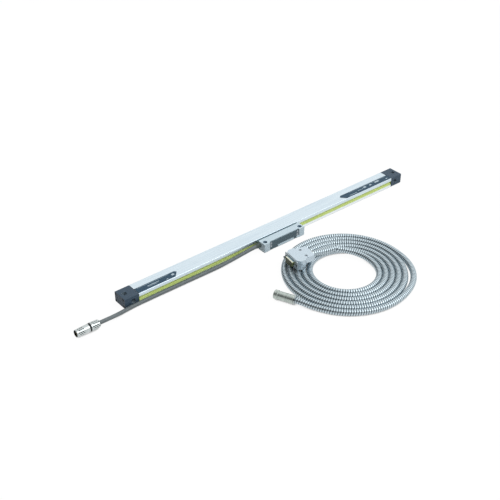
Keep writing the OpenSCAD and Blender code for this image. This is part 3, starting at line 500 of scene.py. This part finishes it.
# float glass with a chrome graduation: clear and green at the edge, crossed by grey lines; the real lines are 0.02 mm
# apart and are drawn 6.3 mm apart so that they show
def graduatedGlass():
    m = newMaterial("graduatedGlass", "#cfe6e2", 0.04, 0.0, **{"IOR": glassIor, "Transmission Weight": 0.92})
    lineScale = 50  # a wave repeats every 0.314 m divided by this
    lines = addNode(m.node_tree, "ShaderNodeTexWave", {"bands_direction": "X", "Scale": lineScale, "Detail": 0.0},
                    {"Vector": axesFrom(m, (0, 0, 0))})
    surface(m, lines.outputs["Fac"], [(0.55, "#cfe6e2"), (0.62, "#5d6a6c")])
    return m


# polished optical glass: clear and sharp, with only a breath of haze
def clearGlass():
    m = newMaterial("polishedOptic", "#d8eef2", 0.03, 0.0, **{"IOR": glassIor, "Transmission Weight": 0.95})
    surface(m, pattern(m, (3, 3, 3)), rough=(0.01, 0.05))
    return m


# green solder mask over copper tracks: glossy, and paler along tracks that are 0.6 mm wide
def circuitBoard():
    m = newMaterial("solderMask", "#2f6b4a", 0.3, 0.0, **{"Coat Weight": 0.3})
    tracks = addNode(m.node_tree, "ShaderNodeTexBrick",
                     {"Scale": 1.0, "Color1": linear("#2c6646"), "Color2": linear("#347550"),
                      "Mortar": linear("#4f8f5e"), "Mortar Size": 0.3 * mm, "Brick Width": 4 * mm,
                      "Row Height": 1.2 * mm},
                     {"Vector": axesFrom(m, (0, 0, 0))})
    setColour(m, tracks.outputs["Color"])
    surface(m, pattern(m, (1, 1, 1)), rough=(0.24, 0.36))
    return m


# the D connector's shell: how high the painted highlight on its top starts, and then for each band along its depth
# where it starts past the place, both in mm, with the painted shade of its side and the painted highlight of its top
shellPaintedLight = {
    "place": (-15.5, -83, 15.5),
    "turn": dConnectorTurn,
    "top": 3.9,
    "flangeDark": "#b4c3cb",
    "flange": "#ccd9df",
    "bands": [(18.45, "#868f64", "#86a0ac"), (20.7, "#868f64", "#e4e7d2")],
}


# tin plate on steel: grey flange, and an olive shell with painted shade on its sides and a painted highlight on its
# top rim
def tinnedSteel(shell):
    m = turnedMetal("tinPlate", shell["flangeDark"], shell["flange"], 0.3, 0.42, shell["turn"], 0.8, 0.2)
    tree = m.node_tree
    spot = addNode(tree, "ShaderNodeSeparateXYZ", None, {"Vector": axesFrom(m, shell["place"], shell["turn"])})
    tone = tree.nodes["tone"].outputs["Color"]
    high = addNode(tree, "ShaderNodeMath", {"operation": "GREATER_THAN", 1: shell["top"] * mm},
                   {0: spot.outputs["Z"]})
    # painted light: the sides get painted shade and the tops painted highlights
    for at, side, top in shell["bands"]:
        past = addNode(tree, "ShaderNodeMath", {"operation": "GREATER_THAN", 1: at * mm}, {0: spot.outputs["X"]})
        band = addNode(tree, "ShaderNodeMix", {"data_type": "RGBA", colourA: linear(side), colourB: linear(top)},
                       {factor: high.outputs[0]})
        mixed = addNode(tree, "ShaderNodeMix", {"data_type": "RGBA"},
                        {factor: past.outputs[0], colourA: tone, colourB: band.outputs[colourMixed]})
        tone = mixed.outputs[colourMixed]
    setColour(m, tone)
    return m


finishes = [  # each finish, with the nodes that have it
    (extrudedAluminium(), ["scale_housing"]),
    (paintedBoreLightAndShade(powderCoat("slatePowderCoat", "#2e404f", "#3a4e5f", "#475c6f"), blockBoresPaintedLight),
     ["left_end_block", "right_end_block"]),
    (limeElastomer(), ["upper_seal_lip", "lower_seal_lip"]),
    (mouldedPlastic("nitrileRubber", "#1f2224", "#2b2e30", 0.6, 0.75, 0.8, 0.03),
     ["glass_bead", "left_end_gasket", "right_end_gasket", "head_gasket", "plug_seal"]),
    (graduatedGlass(), ["glass_scale"]),
    (turnedMetal("blackOxideSteel", "#25292c", "#3d4347", 0.35, 0.5), ["end_block_screws", "blade_screws"]),
    (turnedMetal("zincPlatedSteel", "#8b949b", "#b4bcc2", 0.28, 0.42),
     ["head_cover_screws", "hood_screws", "cable_clamp"]),
    # painted shade: the jackscrews are toned dark where they sit in the shadow under the connector
    (turnedMetal("zincSteelPaintedShade", "#59646a", "#78848a", 0.4, 0.52, dConnectorTurn, 0.5, 0.5),
     ["jackscrew_near", "jackscrew_far"]),
    (blastedAluminium("machinedCarriage", "#80878d", "#a1a8ad", 0.8), ["scanning_carriage"]),
    (turnedMetal("groundBearingSteel", "#b0b6bb", "#d3d7da", 0.16, 0.26),
     ["roller_pins", "top_roller_left", "top_roller_right", "top_roller_middle", "edge_roller_left",
      "edge_roller_right", "coupling_blade"]),
    (mouldedPlastic("glassFilledNylon", "#17191b", "#26292c", 0.4, 0.55, 0.5, 0.02),
     ["lamp_holder", "plug_insert", "socket_insert"]),
    (mouldedPlastic("oliveThermoset", "#3a4129", "#525a3b", 0.4, 0.55, 0.5, 0.02), ["dsub_insert"]),
    (mouldedPlastic("amberResin", "#e0cfa0", "#ecdfb8", 0.1, 0.2, 1, 0.01, **{"Transmission Weight": 0.4}),
     ["lamp"]),
    (clearGlass(), ["condenser_lens", "index_grating"]),
    (circuitBoard(), ["photocell_board", "head_board"]),
    (turnedMetal("rolledSpringSteel", "#b9bfc4", "#d8dcdf", 0.2, 0.32, 0, 6), ["coupling_spring"]),
    (paintedBoreLightAndShade(blastedAluminium("blastedHeadAluminium", "#bcd0da", "#cfe2ec", 0.6, 0.05), headBoresPaintedShade),
     ["head_block"]),
    (powderCoat("slateCoverPaint", "#43545d", "#52666f", "#607781", 0.6), ["head_cover"]),
    (mouldedPlastic("glandRubber", "#4a5754", "#65726d", 0.5, 0.65, 0.7, 0.03), ["cable_gland"]),
    (turnedMetal("satinNickel", "#8f9696", "#c3cacb", 0.2, 0.34), ["socket_nut", "hood_ferrule"]),
    (grippedNickel("backshellNickel", backshellGrip), ["plug_backshell"]),
    (grippedNickel("ringNickel", ringGrip), ["plug_ring"]),
    (turnedMetal("matteNickel", "#a3aea9", "#cbd3ce", 0.38, 0.5, socketTurn), ["socket_body"]),
    (turnedMetal("goldPlate", "#b8953c", "#dcbc62", 0.18, 0.28),
     ["plug_pins", "socket_contacts", "dsub_contacts"]),
    (mouldedPlastic("metallisedHood", "#c0d0da", "#cbdae4", 0.26, 0.38, 1.4, 0.02, **{"Metallic": 0.5}),
     ["hood_upper", "hood_lower"]),
    (tinnedSteel(shellPaintedLight), ["dsub_shell"]),
]
for plate, rules in labelRules.items():
    finishes.append((printedFilm(plate.split("_")[0] + "PrintedFilm", plate, rules), [plate]))
for material, owners in finishes:
    for owner in owners:
        nodes[owner].data.materials.clear()
        nodes[owner].data.materials.append(material)
print("finishes on", sum(len(owners) for material, owners in finishes), "nodes")


# edges that the real parts have broken or moulded round, in mm; body is what each piece moves with, and meet is the
# gap that is left between the two lips
softEdges = {
    "left_end_block": {"piece": "leftEndBlock", "edge": 0.35, "slot": "end_paint", "body": "scale"},
    "right_end_block": {"piece": "rightEndBlock", "edge": 0.35, "slot": "end_paint", "body": "scale"},
    "head_block": {"piece": "headBlock", "edge": 0.3, "slot": "head_alu", "body": "head"},
    "head_cover": {"piece": "headCover", "edge": 0.2, "slot": "head_panel", "body": "head"},
    "cable_gland": {"piece": "cableGland", "edge": 0.15, "slot": "gland", "body": "head"},
    "plug_backshell": {"piece": "plugBackshell", "edge": 0.1, "slot": "nickel", "body": "head"},
    "plug_ring": {"piece": "plugRing", "edge": 0.1, "slot": "nickel", "body": "plug_ring"},
    "socket_body": {"piece": "socketBody", "edge": 0.12, "slot": "olive_nickel", "body": "scale"},
    "upper_seal_lip": {"piece": "upperSealLip", "edge": 0.06, "slot": "lip", "body": "scale", "meet": 0.06},
    "lower_seal_lip": {"piece": "lowerSealLip", "edge": 0.06, "slot": "lip", "body": "scale", "meet": 0.06},
    "hood_upper": {"piece": "hoodUpper", "edge": 0.6, "slot": "hood_paint", "body": "scale"},
    "hood_lower": {"piece": "hoodLower", "edge": 0.6, "slot": "hood_paint", "body": "scale"},
    "dsub_shell": {"piece": "connectorShell", "edge": 0.15, "slot": "flange_tin", "body": "scale"},
    "jackscrew_near": {"piece": "jackscrewNear", "edge": 0.12, "slot": "bright_screw", "body": "jackscrew_near"},
    "jackscrew_far": {"piece": "jackscrewFar", "edge": 0.12, "slot": "bright_screw", "body": "jackscrew_far"},
}

softWork = {
    "weld": 0.001,  # mm, points nearer than this become one
    "lipReach": 0.5,  # mm from the slot's middle, the part of a lip that is drawn in
    "flatAngle": 1,  # degrees, flatter joints than this are taken out
    "edgeAngle": 30,  # degrees, sharper joints than this are rounded
    "shadeAngle": 38,  # degrees, sharper joints than this stay sharp in the shading
    "segments": 2,  # faces across a rounded edge
}


def softCopy(node, work):
    mesh = nodes[node].data.copy()
    mesh.name = work["piece"]
    if "custom_normal" in mesh.attributes:
        mesh.attributes.remove(mesh.attributes["custom_normal"])
    shape = bmesh.new()
    shape.from_mesh(mesh)
    bmesh.ops.remove_doubles(shape, verts=shape.verts, dist=softWork["weld"] * mm)
    if "meet" in work:  # the soft lips spring in until they all but touch
        for v in shape.verts:
            off = v.co.z - slotMiddle
            if abs(off) < softWork["lipReach"] * mm:
                v.co.z = slotMiddle + math.copysign(work["meet"] / 2 * mm, off)
    flat, sharp = math.radians(softWork["flatAngle"]), math.radians(softWork["edgeAngle"])
    bmesh.ops.dissolve_limit(shape, angle_limit=flat, verts=shape.verts, edges=shape.edges)
    edges = [e for e in shape.edges if e.is_manifold and e.calc_face_angle() > sharp]
    bmesh.ops.bevel(shape, geom=edges, affect="EDGES", offset=work["edge"] * mm, offset_type="OFFSET",
                    segments=softWork["segments"], profile=0.5, material=-1, clamp_overlap=True)
    for face in shape.faces:
        face.smooth = True
    shape.to_mesh(mesh)
    shape.free()
    mesh.set_sharp_from_angle(angle=math.radians(softWork["shadeAngle"]))
    piece = bpy.data.objects.new(work["piece"], mesh)
    scene.collection.objects.link(piece)
    even = piece.modifiers.new("evenShading", "WEIGHTED_NORMAL")
    even.keep_sharp = True
    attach(piece, work["body"])
    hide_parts(node)


for node, work in softEdges.items():
    softCopy(node, work)
print("soft edges on", len(softEdges), "pieces")

# PVC jacket: grey, a little shiny, with the faint lay of its cores
jacket = mouldedPlastic("pvcJacket", "#5c6669", "#717b7e", 0.36, 0.5, 2.5, 0.05)
headCablePiece.data.materials.append(jacket)
armouredPiece.data.materials.append(armourStrip())
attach(headCablePiece, "head")
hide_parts("head_cable")
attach(armouredPiece, "scale")
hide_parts("signal_coil", "signal_lead", "signal_tail")

# a white floor that keeps a faint shadow, under a wide soft light from above and from the right
studio = {
    "floorSize": 12.0,  # in metres
    "floorDrop": 0.3,  # mm under the height that the pieces stand at, so that it doesn't meet their undersides
    "floorMatt": 0.4,  # what the floor throws back on the object
    "floorGlow": 1.135,
    "shadowShare": 0.16,  # how much of the lamps' light and shadow shows on the floor
    "creaseReach": 4.5,  # how near a piece darkens the floor under and beside it, in mm
    "creaseSpan": (0.08, 0.36),  # how open the floor is there: darkest at the first value, and clear at the second
    "creaseLevel": 0.08,
    "skyFrom": (0.75, 0, 0.66),  # towards the sky's brightest place
    "skyRange": (0, 0.6),  # cosines of the angle to it at which the sky is dim and bright
    "skyLevels": (0.1, 1.12),
    "horizon": (0.05, 0.16),  # white up to the first height, the sky's own level above the second
    "keyPlace": (540, -1080, 1440),
    "keyTurn": (40, 0, 26.6),
    "keySize": 1.2,  # in metres
    "keyPower": 9.5,  # in watts
}


def makeFloor():
    shape = bmesh.new()
    bmesh.ops.create_grid(shape, x_segments=1, y_segments=1, size=studio["floorSize"] / 2)
    bmesh.ops.translate(shape, verts=shape.verts, vec=(0, 0, -studio["floorDrop"] * mm))
    mesh = bpy.data.meshes.new("floor")
    shape.to_mesh(mesh)
    shape.free()
    floor = bpy.data.objects.new("floor", mesh)
    scene.collection.objects.link(floor)
    paper = bpy.data.materials.new("whitePaper")
    paper.use_nodes = True
    tree = paper.node_tree
    tree.nodes.clear()
    matt = addNode(tree, "ShaderNodeBsdfDiffuse", {"Color": (studio["floorMatt"],) * 3 + (1,)})
    crease = addNode(tree, "ShaderNodeAmbientOcclusion", {"samples": 8, "Distance": studio["creaseReach"] * mm})
    shut, clear = studio["creaseSpan"]
    level = addNode(tree, "ShaderNodeMapRange",
                    {"From Min": shut, "From Max": clear, "To Min": studio["creaseLevel"],
                     "To Max": studio["floorGlow"]},
                    {"Value": crease.outputs["AO"]})
    rays = addNode(tree, "ShaderNodeLightPath")
    strength = addNode(tree, "ShaderNodeMix", {numberA: studio["floorGlow"]},
                       {factor: rays.outputs["Is Camera Ray"], numberB: level.outputs["Result"]})
    glow = addNode(tree, "ShaderNodeEmission", {"Color": (1, 1, 1, 1)}, {"Strength": strength.outputs[numberMixed]})
    eye = addNode(tree, "ShaderNodeMath", {"operation": "ADD"},
                  {0: rays.outputs["Is Camera Ray"], 1: rays.outputs["Is Glossy Ray"]})
    seen = addNode(tree, "ShaderNodeMath", {"operation": "ADD", "use_clamp": True},
                   {0: eye.outputs[0], 1: rays.outputs["Is Transmission Ray"]})
    share = addNode(tree, "ShaderNodeMath", {"operation": "MULTIPLY", 1: 1 - studio["shadowShare"]},
                    {0: seen.outputs[0]})
    mixed = addNode(tree, "ShaderNodeMixShader", None, {0: share.outputs[0], 1: matt.outputs[0], 2: glow.outputs[0]})
    addNode(tree, "ShaderNodeOutputMaterial", None, {"Surface": mixed.outputs[0]})
    mesh.materials.append(paper)


def lightStudio():
    world = bpy.data.worlds.new("studio")
    scene.world = world
    world.use_nodes = True
    tree = world.node_tree
    sky = tree.nodes["Background"]
    sky.inputs["Color"].default_value = (1, 1, 1, 1)
    place = addNode(tree, "ShaderNodeTexCoord")
    brightest = Vector(studio["skyFrom"]).normalized()
    side = addNode(tree, "ShaderNodeVectorMath", {"operation": "DOT_PRODUCT", 1: brightest},
                   {0: place.outputs["Generated"]})
    low, high = studio["skyRange"]
    dim, bright = studio["skyLevels"]
    level = addNode(tree, "ShaderNodeMapRange",
                    {"interpolation_type": "SMOOTHSTEP", "From Min": low, "From Max": high, "To Min": dim,
                     "To Max": bright},
                    {"Value": side.outputs["Value"]})
    axes = addNode(tree, "ShaderNodeSeparateXYZ", None, {"Vector": place.outputs["Generated"]})
    edge, clear = studio["horizon"]
    raised = addNode(tree, "ShaderNodeMapRange", {"From Min": edge, "From Max": clear}, {"Value": axes.outputs["Z"]})
    both = addNode(tree, "ShaderNodeMix", {numberA: 1.0},
                   {factor: raised.outputs["Result"], numberB: level.outputs["Result"]})
    tree.links.new(both.outputs[numberMixed], sky.inputs["Strength"])
    lamp = bpy.data.lights.new("key", "AREA")
    lamp.shape = "DISK"
    lamp.size = studio["keySize"]
    lamp.energy = studio["keyPower"]
    key = bpy.data.objects.new("key", lamp)
    key.location = point(studio["keyPlace"])
    key.rotation_euler = [math.radians(a) for a in studio["keyTurn"]]
    scene.collection.objects.link(key)


makeFloor()
lightStudio()
print("floor and light")
